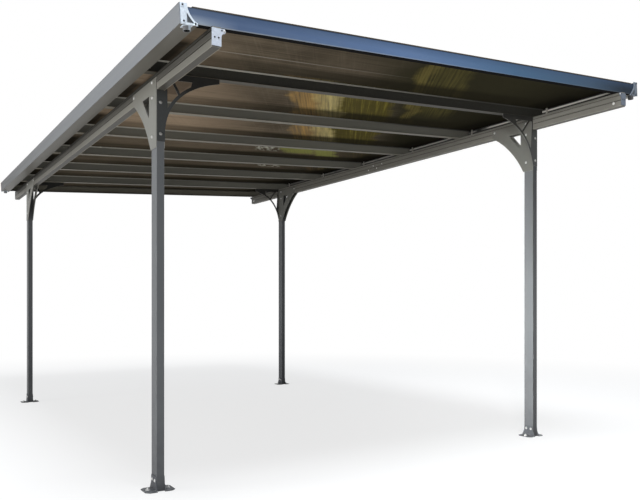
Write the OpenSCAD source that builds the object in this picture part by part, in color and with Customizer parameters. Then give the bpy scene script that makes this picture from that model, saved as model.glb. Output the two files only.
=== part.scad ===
// Lean-to style car shelter: four posts, two long beams, sloping rafters,
// tinted roof panels, a gutter along each long side and a fascia at each end.
// Millimetres. +X across to the high side, +Y along the roof to the back, +Z up.
// The origin is on the ground, under the middle of the roof.

/* [Overall] */
// Length of the roof over its two fascias
roof_length = 4980; // [4000:10:6000]
// Width of the roof over its two gutters, along the slope
roof_width = 2960; // [2500:10:3500]
// Fall of the roof towards the left, degrees
roof_slope = 3.25; // [1:0.05:8]
// Clear height under the low beam
clear_height = 1953; // [1800:10:2600]
// Post centre to the gutter face, across
side_overhang = 155; // [125:5:400]
// Post centre to the fascia face, along
end_overhang = 705; // [400:10:1000]

/* [Posts] */
// Post size across, also the width of the beams
post_x = 38; // [30:1:60]
// Post size along
post_y = 76; // [60:1:120]
// Wall of the post tube
post_wall = 2.5; // [1.5:0.1:4]

/* [Feet] */
// Height of the foot bracket
foot_height = 72; // [50:1:110]
// Length of the foot bracket along Y at the ground
foot_length = 112; // [90:1:160]
// Reach of the foot flange away from the post
foot_flange = 53; // [35:1:90]
// Sheet thickness of the foot bracket
foot_plate = 3; // [2:0.1:6]
// Anchor hole in the middle of each foot flange
anchor_hole_d = 11; // [8:0.5:14]

/* [Beams] */
// Height of a beam
beam_height = 84; // [80:1:160]
// Wall of a beam
beam_wall = 4; // [3:0.1:6]
// Depth of the two grooves along each face of a beam
groove_depth = 2; // [0.5:0.1:2.5]
// Height of each groove
groove_height = 4; // [2:0.5:8]
// Beam end in front of the fascia face
beam_past_fascia = 10; // [0:1:60]

/* [Gussets] */
// Sheet thickness of the gussets
gusset_plate = 3; // [2:0.1:6]
// Reach of a beam gusset along the beam, from the post
gusset_reach = 285; // [180:5:400]
// Drop of a beam gusset below the beam
gusset_drop = 280; // [180:1:400]
// Lap of a beam gusset up the face of the beam
gusset_lap = 62; // [40:1:90]
// Reach of a cross gusset along the rafter, from the post
cross_reach = 290; // [200:5:400]
// Depth of the end of a cross gusset under the rafter
cross_tip = 24; // [10:1:40]
// Drop of a cross gusset below the beam
cross_drop = 250; // [180:5:400]
// Width of the curved band of a cross gusset
cross_band = 16; // [10:1:24]
// Width of the bar of a cross gusset beside the beam
cross_side = 9; // [6:1:16]
// Depth of the bar of a cross gusset under the rafter
cross_top = 30; // [15:1:36]
// Width of the strut across a cross gusset
cross_strut = 13; // [8:1:20]
// Leg of the three-cornered hole in a beam gusset
gusset_hole = 104; // [50:1:110]

/* [Rafters] */
// Height of a rafter body
rafter_height = 62; // [40:1:80]
// Width of a rafter body
rafter_body = 32; // [24:1:44]
// Width of the lip along the underside of a rafter
rafter_lip = 46; // [36:1:60]
// Wall of a rafter
rafter_wall = 2.5; // [1.5:0.1:4]

/* [Panels] */
// Thickness of a roof panel
panel_thickness = 8; // [4:0.5:16]
// Reach of the panels over the gutters
panel_over_gutter = 20; // [5:1:30]

/* [Gutters] */
// Width of a gutter
gutter_width = 76; // [60:1:100]
// Height of the outer face of a gutter
gutter_face = 82; // [70:1:120]
// Wall of a gutter
gutter_wall = 2.5; // [1.5:0.1:4]
// Height of the open slit between a gutter's inner rim and the panels
gutter_slit = 12; // [4:1:20]
// Width of an end cap at its top
cap_top = 33; // [25:1:50]
// Outside diameter of an outlet spout
outlet_d = 32; // [20:1:40]
// Length of an outlet spout
outlet_length = 17; // [10:1:60]

/* [Fascias] */
// Height of a fascia
fascia_height = 64; // [60:1:100]
// Depth of the flange along the underside of a fascia
fascia_flange = 36; // [20:1:60]
// Wall of a fascia
fascia_wall = 2.5; // [1.5:0.1:4]

/* [Beam end plates] */
// Width of a beam end plate
end_plate_width = 42; // [30:1:60]
// Height of a beam end plate
end_plate_height = 72; // [60:1:95]
// Sheet thickness of a beam end plate
end_plate = 3; // [2:0.1:6]
// Size of the ear at the top of a beam end plate
end_plate_ear = 20; // [10:1:24]

/* [Hidden] */
$fn = 48;
CUT = 1;
RAFTERS = 6;
CURVE_STEPS = 16;
OPENING_STEPS = 8;
PLAY = 0.5;
SLOPE_RISE = tan(roof_slope);
SPACING_X = roof_width - 2 * side_overhang;
SPACING_Y = roof_length - 2 * end_overhang;
POST_LEFT = -SPACING_X / 2;
POST_RIGHT = SPACING_X / 2;
POST_FRONT = -SPACING_Y / 2;
POST_BACK = SPACING_Y / 2;
RISE = SPACING_X * SLOPE_RISE;
GUTTER_BELOW = 4;
GUTTER_TOP = gutter_face - GUTTER_BELOW;
// sideways shift that centres the tilted roof over the origin
ROOF_DX = (GUTTER_TOP - GUTTER_BELOW) / 2 * sin(roof_slope);
RAFTER_HALF = roof_width / 2 - gutter_width;
// the first and last rafters stand over the outer faces of the posts
RAFTER_FIRST = POST_FRONT - post_y / 2 + rafter_lip / 2 - gusset_plate - 1;
RAFTER_PITCH = -2 * RAFTER_FIRST / (RAFTERS - 1);
RAFTER_WEB = 3;
RAFTER_CAP = 2.5;
RAFTER_LIP_WALL = 3;
ROOF_HALF = roof_length / 2;
GUTTER_HALF = ROOF_HALF - fascia_wall;
BEAM_HALF = ROOF_HALF + beam_past_fascia;
PANEL_LOW = rafter_height;
PANEL_HIGH = PANEL_LOW + panel_thickness;
FASCIA_LEDGE = 26;

PAINT = [0.24, 0.25, 0.26];
TRIM = [0.30, 0.34, 0.40];
ZINC = [0.78, 0.80, 0.82];
SMOKE = [0.28, 0.22, 0.15, 0.75];

// Name of the node to show, or "all"

// Height of the underside of the beam on a side: 0 for the left, 1 for the right
function beam_low(side) = clear_height + side * RISE;
// Height of the plane on which the rafters lie, at x
function roof_plane(x) = clear_height + beam_height + (x - POST_LEFT) * SLOPE_RISE;
// Place of rafter i, counted from 1 at the front
function rafter_y(i) = RAFTER_FIRST + (i - 1) * RAFTER_PITCH;
// Point of a curve that leaves a towards b and arrives at c
function bend(a, b, c, t) = (1 - t) * (1 - t) * a + 2 * t * (1 - t) * b + t * t * c;
function bend_line(a, b, c) = [for (k = [0 : CURVE_STEPS]) bend(a, b, c, k / CURVE_STEPS)];
// Direction of that curve
function bend_way(a, b, c, t) = (1 - t) * (b - a) + t * (c - b);
// Point at a distance to the left of that curve
function beside_bend(a, b, c, t, away) =
    let (way = bend_way(a, b, c, t)) bend(a, b, c, t) + away / norm(way) * [-way[1], way[0]];
// Width of an end cap at height w: narrow above, sweeping out to the gutter's full width below
function cap_edge(w) = cap_top + (gutter_width - cap_top) * pow(1 - (w + GUTTER_BELOW) / gutter_face, 2.2);
function cap_curve(low, high, extra) =
    [for (k = [0 : CURVE_STEPS]) let (w = low + (high - low) * k / CURVE_STEPS) [cap_edge(w) + extra, w]];

// Stands the children in the tilted frame of the roof
module roof_frame() {
    translate([ROOF_DX, 0, roof_plane(ROOF_DX)])
        rotate([0, -roof_slope, 0])
            children();
}

// Carries a profile drawn in X and Z along Y, from y0 to y1
module along_y(y0, y1) {
    translate([0, y1, 0])
        rotate([90, 0, 0])
            linear_extrude(height = y1 - y0)
                children();
}

// Carries a profile drawn in Y and Z along X, from x0 to x1
module along_x(x0, x1) {
    translate([x0, 0, 0])
        rotate([90, 0, 90])
            linear_extrude(height = x1 - x0)
                children();
}

// A post: an upright rectangular tube from the ground to the beam
module post(x, y, top) {
    color(PAINT)
        translate([x, y, 0])
            difference() {
                translate([-post_x / 2, -post_y / 2, 0])
                    cube([post_x, post_y, top]);
                translate([-post_x / 2 + post_wall, -post_y / 2 + post_wall, -CUT])
                    cube([post_x - 2 * post_wall, post_y - 2 * post_wall, top + 2 * CUT]);
            }
}

// One bent-sheet bracket on the +X face of a post, with its flange on the ground
module foot_bracket() {
    face = post_x / 2;
    half_top = post_y / 2 - 3;
    half_low = foot_length / 2;
    flange = foot_plate + foot_flange;
    corner = foot_flange * 0.35;
    difference() {
        union() {
            along_x(face, face + foot_plate)
                polygon([[-half_low, 0], [half_low, 0], [half_low, foot_plate],
                         [half_top + 4, foot_height * 0.5], [half_top, foot_height],
                         [-half_top, foot_height], [-half_top - 4, foot_height * 0.5],
                         [-half_low, foot_plate]]);
            linear_extrude(height = foot_plate)
                polygon([[face, -half_low], [face + flange - corner, -half_low],
                         [face + flange, -half_low + corner], [face + flange, half_low - corner],
                         [face + flange - corner, half_low], [face, half_low]]);
        }
        translate([face + foot_plate + foot_flange * 0.55, 0, -CUT])
            cylinder(d = anchor_hole_d, h = foot_plate + 2 * CUT);
    }
}

// The two brackets at the foot of a post
module foot(x, y) {
    color(PAINT)
        translate([x, y, 0]) {
            foot_bracket();
            mirror([1, 0, 0]) foot_bracket();
        }
}

// One length of a beam: a grooved box section with its top cut to the roof's slope
module beam(x, low, y0, y1) {
    half = post_x / 2;
    tip = half * SLOPE_RISE;
    g1 = beam_height * 0.41;
    g2 = beam_height * 0.78;
    color(PAINT)
        translate([x, 0, low])
            difference() {
                along_y(y0, y1)
                    polygon([[-half, 0], [half, 0],
                             [half, g1], [half - groove_depth, g1],
                             [half - groove_depth, g1 + groove_height], [half, g1 + groove_height],
                             [half, g2], [half - groove_depth, g2],
                             [half - groove_depth, g2 + groove_height], [half, g2 + groove_height],
                             [half, beam_height + tip], [-half, beam_height - tip],
                             [-half, g2 + groove_height], [-half + groove_depth, g2 + groove_height],
                             [-half + groove_depth, g2], [-half, g2],
                             [-half, g1 + groove_height], [-half + groove_depth, g1 + groove_height],
                             [-half + groove_depth, g1], [-half, g1]]);
                translate([-half + beam_wall, y0 - CUT, beam_wall])
                    cube([post_x - 2 * beam_wall, y1 - y0 + 2 * CUT, beam_height - 2 * beam_wall - tip]);
            }
}

// One sheet of a beam gusset, drawn in Y and Z from the post's centre and the beam's underside
module beam_gusset_sheet() {
    edge = post_y / 2;
    foot_end = [edge + 8, -gusset_drop];
    beam_end = [edge + gusset_reach, 0];
    pull = 0.14 * (gusset_reach + gusset_drop) / 2;
    middle = (foot_end + beam_end) / 2 + [-pull, pull];
    hole = [edge + 32, -7];
    difference() {
        linear_extrude(height = gusset_plate)
            polygon(concat([[-edge, -gusset_drop]], bend_line(foot_end, middle, beam_end),
                           [beam_end + [14, 10], beam_end + [14, gusset_lap], [-edge, gusset_lap]]));
        translate([0, 0, -CUT])
            linear_extrude(height = gusset_plate + 2 * CUT)
                polygon([hole, hole + [gusset_hole, 0], hole + [gusset_hole - 8, -10],
                         hole + [8, -gusset_hole], hole + [0, -gusset_hole]]);
    }
}

// The pair of sheets that joins a post to its beam; turn is 1 towards the back, -1 towards the front
module beam_gusset(x, y, low, turn) {
    color(PAINT)
        translate([x, y, low])
            for (side = [-1, 1])
                scale([1, turn, 1])
                    translate([side * (post_x / 2 + gusset_plate / 2) - gusset_plate / 2, 0, 0])
                        rotate([90, 0, 90])
                            beam_gusset_sheet();
}

// The sheet that joins a post to the rafter over it, drawn in X and Z; fall is the rafter's slope inwards.
// It is an open frame: a curved band, a bar beside the beam, a bar under the rafter, and a strut to the band.
// On the low side of the roof the band hugs the post; on the high side it stands further out
module cross_gusset_sheet(fall) {
    edge = post_x / 2;
    clear = edge + gusset_plate + 2;
    foot_end = [edge + 3, -cross_drop];
    reach_end = edge + cross_reach;
    rafter_low = beam_height + reach_end * fall;
    rafter_end = [reach_end, rafter_low - cross_tip];
    low_side = fall > 0;
    middle = low_side ? [edge - cross_reach * 0.05, beam_height * 0.10]
                      : [edge + cross_reach * 0.17, -beam_height * 0.14];
    first = low_side ? 0.35 : 0.26;
    step = (0.72 - first) / OPENING_STEPS;
    band_edge = [for (k = [0 : OPENING_STEPS])
                 beside_bend(foot_end, middle, rafter_end, first + k * step, cross_band)];
    end = band_edge[OPENING_STEPS];
    side = clear + cross_side;
    upper_end = [end[0] + 8, beam_height + end[0] * fall - cross_top];
    upper_corner = [side, beam_height + side * fall - cross_top];
    strut_top = upper_corner + [22, 8];
    strut_foot = beside_bend(foot_end, middle, rafter_end, 0.56, cross_band / 2);
    strut_way = (strut_foot - strut_top) / norm(strut_foot - strut_top);
    strut_half = cross_strut / 2 * [-strut_way[1], strut_way[0]];
    difference() {
        linear_extrude(height = gusset_plate)
            polygon(concat([[-edge, -CUT], [-edge, -cross_drop]], bend_line(foot_end, middle, rafter_end),
                           [[reach_end, rafter_low],
                            [clear, beam_height + clear * fall], [clear, -CUT]]));
        difference() {
            translate([0, 0, -CUT])
                linear_extrude(height = gusset_plate + 2 * CUT)
                    polygon(concat(band_edge, [upper_end, upper_corner]));
            translate([0, 0, -2 * CUT])
                linear_extrude(height = gusset_plate + 4 * CUT)
                    polygon([strut_top + strut_half, strut_top - strut_half,
                             strut_foot - strut_half, strut_foot + strut_half]);
        }
    }
}

// side is 0 for the left and 1 for the right; front is 1 for a sheet on the post's front face
module cross_gusset(x, y, side, front) {
    inward = side == 0 ? 1 : -1;
    face = front == 1 ? y - post_y / 2 : y + post_y / 2 + gusset_plate;
    color(PAINT)
        translate([x, face, beam_low(side)])
            scale([inward, 1, 1])
                rotate([90, 0, 0])
                    cross_gusset_sheet(inward * SLOPE_RISE);
}

// A rafter: lipped box section with a web and cap that hold the panel edges
module rafter(i) {
    lip = rafter_lip / 2;
    body = rafter_body / 2;
    web = RAFTER_WEB / 2;
    slot = PANEL_HIGH + PLAY;
    top = slot + RAFTER_CAP;
    color(PAINT)
        roof_frame()
            translate([0, rafter_y(i), 0])
                difference() {
                    along_x(-RAFTER_HALF, RAFTER_HALF)
                        polygon([[-lip, 0], [lip, 0], [lip, RAFTER_LIP_WALL], [body, RAFTER_LIP_WALL],
                                 [body, PANEL_LOW], [web, PANEL_LOW], [web, slot], [body, slot],
                                 [body, top], [-body, top], [-body, slot], [-web, slot],
                                 [-web, PANEL_LOW], [-body, PANEL_LOW], [-body, RAFTER_LIP_WALL],
                                 [-lip, RAFTER_LIP_WALL]]);
                    translate([-RAFTER_HALF - CUT, -body + rafter_wall, rafter_wall])
                        cube([2 * RAFTER_HALF + 2 * CUT, rafter_body - 2 * rafter_wall,
                              rafter_height - 2 * rafter_wall]);
                }
}

// A fascia: front web shaped to the end caps, a flange below and a ledge under the panel
module fascia_front_shape() {
    half = roof_width / 2;
    ledge_low = PANEL_LOW - fascia_wall;
    side = cap_curve(0, fascia_height, PLAY);
    left = [for (p = side) [p[0] - half, p[1]]];
    right = [for (k = [len(side) - 1 : -1 : 0]) [half - side[k][0], side[k][1]]];
    translate([0, -ROOF_HALF, 0])
        union() {
            along_y(0, fascia_wall)
                polygon(concat(left, right));
            along_x(-RAFTER_HALF, RAFTER_HALF)
                polygon([[0, 0], [fascia_flange, 0], [fascia_flange, fascia_wall],
                         [fascia_wall, fascia_wall], [fascia_wall, ledge_low], [FASCIA_LEDGE, ledge_low],
                         [FASCIA_LEDGE, PANEL_LOW], [0, PANEL_LOW]]);
        }
}

// turn is 1 for the front and -1 for the back
module fascia(turn) {
    color(TRIM)
        roof_frame()
            scale([1, turn, 1])
                fascia_front_shape();
}

// Section of a gutter, from its outer face at 0 inwards
module gutter_section() {
    inner = gutter_width - gutter_wall;
    rim = PANEL_LOW - gutter_slit;
    floor_top = gutter_wall - GUTTER_BELOW;
    polygon([[0, -GUTTER_BELOW], [gutter_width, -GUTTER_BELOW], [gutter_width, rim], [inner, rim],
             [inner, floor_top], [gutter_wall, floor_top], [gutter_wall, GUTTER_TOP - gutter_wall],
             [14, GUTTER_TOP - gutter_wall], [14, GUTTER_TOP], [0, GUTTER_TOP]]);
}

// Place of an outlet spout in a gutter: in from the face, and along from the end
OUTLET_IN = gutter_width * 0.47;
OUTLET_Y = GUTTER_HALF - outlet_d / 2 - 4;

// A gutter along one side, with a hole over each spout; turn is 1 for the left and -1 for the right
module gutter(turn) {
    bore = outlet_d - 2 * gutter_wall;
    color(TRIM)
        roof_frame()
            scale([turn, 1, 1])
                translate([-roof_width / 2, 0, 0])
                    difference() {
                        along_y(-GUTTER_HALF, GUTTER_HALF)
                            gutter_section();
                        for (end = [-1, 1])
                            translate([OUTLET_IN, end * OUTLET_Y, -GUTTER_BELOW - CUT])
                                cylinder(d = bore, h = gutter_wall + 2 * CUT);
                    }
}

// A gutter end cap: sheet with one swept edge, a shelf under the gutter and a short spout
module end_cap_shape() {
    bore = outlet_d - 2 * gutter_wall;
    shelf = outlet_d + 8;
    low = -GUTTER_BELOW - fascia_wall;
    difference() {
        union() {
            along_y(-ROOF_HALF, -GUTTER_HALF)
                polygon(concat([[0, GUTTER_TOP], [0, low], [gutter_width, low]],
                               cap_curve(-GUTTER_BELOW, GUTTER_TOP, 0)));
            translate([OUTLET_IN - shelf / 2, -ROOF_HALF, low])
                cube([shelf, ROOF_HALF - OUTLET_Y + shelf / 2, fascia_wall]);
            translate([OUTLET_IN, -OUTLET_Y, low - outlet_length])
                cylinder(d = outlet_d, h = outlet_length + fascia_wall);
        }
        translate([OUTLET_IN, -OUTLET_Y, low - outlet_length - CUT])
            cylinder(d = bore, h = outlet_length + fascia_wall + 2 * CUT);
    }
}

// across is 1 for the left and -1 for the right; turn is 1 for the front and -1 for the back
module end_cap(across, turn) {
    color(ZINC)
        roof_frame()
            scale([across, turn, 1])
                translate([-roof_width / 2, 0, 0])
                    end_cap_shape();
}

// A sheet over the end of a beam, with a rounded ear on its inner side at the top
module end_plate_sheet(x, side, turn) {
    inward = side == 0 ? 1 : -1;
    half = end_plate_width / 2;
    top = beam_height - 6;
    low = top - end_plate_height;
    ear_low = top - end_plate_ear;
    ear_turn = half + end_plate_ear * 0.7;
    color(ZINC)
        translate([x, 0, beam_low(side)])
            scale([inward, turn, 1])
                along_y(-BEAM_HALF - end_plate, -BEAM_HALF)
                    polygon(concat([[-half, low], [half, low]],
                                   bend_line([half, ear_low - 14], [half + 1, ear_low], [ear_turn, ear_low + 2]),
                                   bend_line([ear_turn + 0.5, ear_low + 2.1], [half + end_plate_ear + 4, top - end_plate_ear / 2],
                                             [ear_turn, top]),
                                   [[-half, top]]));
}

// A roof panel between two rafters, or between a rafter and a fascia
module panel(i) {
    gap = RAFTER_WEB / 2 + PLAY;
    y0 = i == 1 ? -GUTTER_HALF + PLAY : rafter_y(i - 1) + gap;
    y1 = i == RAFTERS + 1 ? GUTTER_HALF - PLAY : rafter_y(i) - gap;
    reach = RAFTER_HALF + panel_over_gutter;
    color(SMOKE)
        roof_frame()
            translate([-reach, y0, PANEL_LOW])
                cube([2 * reach, y1 - y0, panel_thickness]);
}

module post_front_left() { post(POST_LEFT, POST_FRONT, beam_low(0)); }
module post_front_right() { post(POST_RIGHT, POST_FRONT, beam_low(1)); }
module post_back_left() { post(POST_LEFT, POST_BACK, beam_low(0)); }
module post_back_right() { post(POST_RIGHT, POST_BACK, beam_low(1)); }

module foot_front_left() { foot(POST_LEFT, POST_FRONT); }
module foot_front_right() { foot(POST_RIGHT, POST_FRONT); }
module foot_back_left() { foot(POST_LEFT, POST_BACK); }
module foot_back_right() { foot(POST_RIGHT, POST_BACK); }

module beam_left_front() { beam(POST_LEFT, beam_low(0), -BEAM_HALF, 0); }
module beam_left_back() { beam(POST_LEFT, beam_low(0), 0, BEAM_HALF); }
module beam_right_front() { beam(POST_RIGHT, beam_low(1), -BEAM_HALF, 0); }
module beam_right_back() { beam(POST_RIGHT, beam_low(1), 0, BEAM_HALF); }

module beam_gusset_front_left() { beam_gusset(POST_LEFT, POST_FRONT, beam_low(0), 1); }
module beam_gusset_front_right() { beam_gusset(POST_RIGHT, POST_FRONT, beam_low(1), 1); }
module beam_gusset_back_left() { beam_gusset(POST_LEFT, POST_BACK, beam_low(0), -1); }
module beam_gusset_back_right() { beam_gusset(POST_RIGHT, POST_BACK, beam_low(1), -1); }

module cross_gusset_front_left() { cross_gusset(POST_LEFT, POST_FRONT, 0, 1); }
module cross_gusset_front_right() { cross_gusset(POST_RIGHT, POST_FRONT, 1, 1); }
module cross_gusset_back_left() { cross_gusset(POST_LEFT, POST_BACK, 0, 0); }
module cross_gusset_back_right() { cross_gusset(POST_RIGHT, POST_BACK, 1, 0); }

module rafter_1() { rafter(1); }
module rafter_2() { rafter(2); }
module rafter_3() { rafter(3); }
module rafter_4() { rafter(4); }
module rafter_5() { rafter(5); }
module rafter_6() { rafter(6); }

module fascia_front() { fascia(1); }
module fascia_back() { fascia(-1); }

module gutter_left() { gutter(1); }
module gutter_right() { gutter(-1); }

module end_cap_front_left() { end_cap(1, 1); }
module end_cap_front_right() { end_cap(-1, 1); }
module end_cap_back_left() { end_cap(1, -1); }
module end_cap_back_right() { end_cap(-1, -1); }

module end_plate_front_left() { end_plate_sheet(POST_LEFT, 0, 1); }
module end_plate_front_right() { end_plate_sheet(POST_RIGHT, 1, 1); }
module end_plate_back_left() { end_plate_sheet(POST_LEFT, 0, -1); }
module end_plate_back_right() { end_plate_sheet(POST_RIGHT, 1, -1); }

module panel_1() { panel(1); }
module panel_2() { panel(2); }
module panel_3() { panel(3); }
module panel_4() { panel(4); }
module panel_5() { panel(5); }
module panel_6() { panel(6); }
module panel_7() { panel(7); }

post_front_left();
post_front_right();
post_back_left();
post_back_right();
foot_front_left();
foot_front_right();
foot_back_left();
foot_back_right();
beam_left_front();
beam_left_back();
beam_right_front();
beam_right_back();
beam_gusset_front_left();
beam_gusset_front_right();
beam_gusset_back_left();
beam_gusset_back_right();
cross_gusset_front_left();
cross_gusset_front_right();
cross_gusset_back_left();
cross_gusset_back_right();
rafter_1();
rafter_2();
rafter_3();
rafter_4();
rafter_5();
rafter_6();
fascia_front();
fascia_back();
gutter_left();
gutter_right();
end_cap_front_left();
end_cap_front_right();
end_cap_back_left();
end_cap_back_right();
end_plate_front_left();
end_plate_front_right();
end_plate_back_left();
end_plate_back_right();
panel_1();
panel_2();
panel_3();
panel_4();
panel_5();
panel_6();
panel_7();
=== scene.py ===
import math

import bpy
import numpy as np
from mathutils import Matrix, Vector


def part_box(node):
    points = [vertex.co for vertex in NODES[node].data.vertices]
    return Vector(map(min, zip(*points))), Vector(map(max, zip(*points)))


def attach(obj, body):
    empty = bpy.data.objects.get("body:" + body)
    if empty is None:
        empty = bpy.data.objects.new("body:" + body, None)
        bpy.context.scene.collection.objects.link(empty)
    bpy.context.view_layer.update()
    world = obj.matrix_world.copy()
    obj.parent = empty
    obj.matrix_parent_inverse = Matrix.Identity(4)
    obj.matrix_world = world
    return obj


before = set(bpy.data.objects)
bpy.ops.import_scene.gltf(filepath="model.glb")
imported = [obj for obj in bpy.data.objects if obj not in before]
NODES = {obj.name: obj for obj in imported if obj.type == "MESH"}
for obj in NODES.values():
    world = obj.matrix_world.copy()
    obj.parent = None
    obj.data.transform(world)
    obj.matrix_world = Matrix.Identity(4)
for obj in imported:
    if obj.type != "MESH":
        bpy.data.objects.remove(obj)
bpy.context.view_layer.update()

# Sizes that the fittings share with the frame, in metres
MM = 0.001
SLOPE = math.radians(3.25)
POST_HALF_X = 19 * MM
POST_HALF_Y = 38 * MM
SHEET = 3 * MM
BEAM_HEIGHT = 84 * MM
BEAM_END = 2503 * MM
GROOVES = (34.4 * MM, 65.5 * MM)
GROOVE_HEIGHT = 4 * MM
RAFTER_COUNT = 6
RAFTER_HALF = 1404 * MM
RAFTER_BODY = 16 * MM
PANEL_LOW = 62 * MM
ROOF_HALF_X = 1480 * MM
ROOF_HALF_Y = 2490 * MM
GUTTER_BELOW = 4 * MM
GUTTER_FACE = 82 * MM
GUTTER_TOP = GUTTER_FACE - GUTTER_BELOW
GUTTER_WIDTH = 76 * MM
CAP_TOP = 33 * MM
CAP_SWEEP = 2.2
SPOUT_IN = 35.7 * MM
SPOUT_Y = 2467.5 * MM
SPOUT_BORE = 13.5 * MM

SIDES = {"left": -1, "right": 1}
ENDS = {"front": -1, "back": 1}
CORNERS = [(end, side) for end in ENDS for side in SIDES]


def middle(node):
    """The middle of a frame piece's box."""
    low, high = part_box(node)
    return (np.array(low) + np.array(high)) / 2


POSTS = {(end, side): middle(f"post_{end}_{side}") for end, side in CORNERS}
POST_X, POST_Y = POSTS["back", "right"][:2]
BEAM_LOW = {side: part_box(f"beam_{side}_front")[0][2] for side in SIDES}
BEAM_RISE = BEAM_LOW["right"] - BEAM_LOW["left"]
RAFTER_Y = np.array([middle(f"rafter_{i + 1}")[1] for i in range(RAFTER_COUNT)])
ROOF_SHIFT = (GUTTER_TOP - GUTTER_BELOW) / 2 * math.sin(SLOPE)
ROOF_BASE = BEAM_LOW["left"] + BEAM_HEIGHT + (ROOF_SHIFT + POST_X) * math.tan(SLOPE)
ROOF_ORIGIN = np.array([ROOF_SHIFT, 0.0, ROOF_BASE])
ALONG = np.array([math.cos(SLOPE), 0.0, math.sin(SLOPE)])
ACROSS = np.array([0.0, 1.0, 0.0])
UPRIGHT = np.array([-math.sin(SLOPE), 0.0, math.cos(SLOPE)])


def on_roof(u, y, w):
    """Points of the tilted roof: its origin plus u times the direction up the slope, y times the one along
    the roof and w times the one square to it."""
    u, y, w = np.broadcast_arrays(np.asarray(u, float), y, w)
    return ROOF_ORIGIN + u[..., None] * ALONG + y[..., None] * ACROSS + w[..., None] * UPRIGHT


# Camera at the photograph's viewing angle
IMAGE_WIDTH = 640
IMAGE_HEIGHT = 500
FOCAL_PIXELS = 702.13
HORIZON_PIXEL = 301.75
SENSOR_WIDTH = 36.0
FAR_CLIP = 200.0
CAMERA_PLACE = (-2.4687, -5.1369, 0.9226)
CAMERA_HEADING = 31.8407


def place_camera():
    """A level camera whose horizon is moved down the picture by a vertical shift."""
    lens = bpy.data.cameras.new("camera")
    lens.sensor_width = SENSOR_WIDTH
    lens.lens = SENSOR_WIDTH * FOCAL_PIXELS / IMAGE_WIDTH
    lens.shift_y = (HORIZON_PIXEL - IMAGE_HEIGHT / 2) / IMAGE_WIDTH
    lens.clip_end = FAR_CLIP
    camera = bpy.data.objects.new("camera", lens)
    camera.location = CAMERA_PLACE
    camera.rotation_euler = (math.pi / 2, 0.0, -math.radians(CAMERA_HEADING))
    bpy.context.scene.collection.objects.link(camera)
    bpy.context.scene.camera = camera


place_camera()


# Surfaces

CREASE = math.radians(35.0)
NEARLY_UPRIGHT = 0.9
STRIP_SIDES = 28


def lofted(rings):
    """Rings of points, (ring, point, xyz), joined into one skin; a fan to its middle point closes each end.
    Point n of ring m is joined to its neighbours n + 1 and m + 1, and the last n to the first."""
    rings = np.asarray(rings, float)
    count, sides = rings.shape[:2]
    verts = np.concatenate([rings.reshape(-1, 3), rings[:1].mean(axis=1), rings[-1:].mean(axis=1)])
    grid = np.arange(count * sides).reshape(count, sides)
    after = np.roll(grid, -1, axis=1)
    quads = np.stack([grid[:-1], after[:-1], after[1:], grid[1:]], axis=-1).reshape(-1, 4)
    first = np.full(sides, count * sides)
    last = first + 1
    fans = np.concatenate([
        np.stack([after[0], grid[0], first], axis=-1),
        np.stack([grid[-1], after[-1], last], axis=-1),
    ])
    return verts, [quads, fans]


def revolved(profile, sides):
    """A profile of (radius, height) rows in millimetres turned round the Z axis:
    ring k holds the points (r cos t, r sin t, h) at even angles t."""
    profile = np.asarray(profile, float) * MM
    turn = np.arange(sides) * (2 * np.pi / sides)
    rings = np.stack([
        profile[:, :1] * np.cos(turn),
        profile[:, :1] * np.sin(turn),
        np.broadcast_to(profile[:, 1:], (len(profile), sides)),
    ], axis=-1)
    return lofted(rings)


def raised_strip(width, height, levels):
    """A strip with round ends, standing on a plane: ring k is the strip's outline drawn in by level k's inset
    and lifted by its height; the outline is a circle pulled apart along the second axis."""
    turn = np.arange(STRIP_SIDES) * (2 * np.pi / STRIP_SIDES)
    levels = np.asarray(levels, float) * MM
    radius = width * MM / 2 - levels[:, :1]
    reach = np.where(np.sin(turn) >= 0, 1.0, -1.0) * (height - width) * MM / 2
    rings = np.stack([
        radius * np.cos(turn),
        radius * np.sin(turn) + reach,
        np.broadcast_to(levels[:, 1:], (len(levels), STRIP_SIDES)),
    ], axis=-1)
    return lofted(rings)


def carried(outline, length):
    """A closed outline of (a, b) points, drawn anticlockwise, carried along +Z by a length, with flat ends:
    each point (a, b) becomes (a, b, 0) and (a, b, length)."""
    outline = np.asarray(outline, float) * MM
    count = len(outline)
    near = np.column_stack([outline, np.zeros(count)])
    far = near + np.array([0.0, 0.0, length])
    ring = np.arange(count)
    after = np.roll(ring, -1)
    walls = np.stack([ring, after, after + count, ring + count], axis=-1)
    return np.concatenate([near, far]), [walls, ring[None, ::-1], ring[None] + count]


def joined(*shapes):
    """Several shapes as one: the points in a row, each shape's faces counted on from the last."""
    verts = np.concatenate([shape[0] for shape in shapes])
    starts = np.cumsum([0] + [len(shape[0]) for shape in shapes[:-1]])
    faces = [part + start for shape, start in zip(shapes, starts) for part in shape[1]]
    return verts, faces


def standing(axis):
    """Rows of three square directions for each axis: two across it, then the axis."""
    axis = np.atleast_2d(np.asarray(axis, float))
    axis = axis / np.linalg.norm(axis, axis=1, keepdims=True)
    helper = np.where(np.abs(axis[:, 2:]) > NEARLY_UPRIGHT, [[0.0, 1.0, 0.0]], [[0.0, 0.0, 1.0]])
    first = np.cross(helper, axis)
    first = first / np.linalg.norm(first, axis=1, keepdims=True)
    return np.stack([first, np.cross(axis, first), axis], axis=1)


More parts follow.
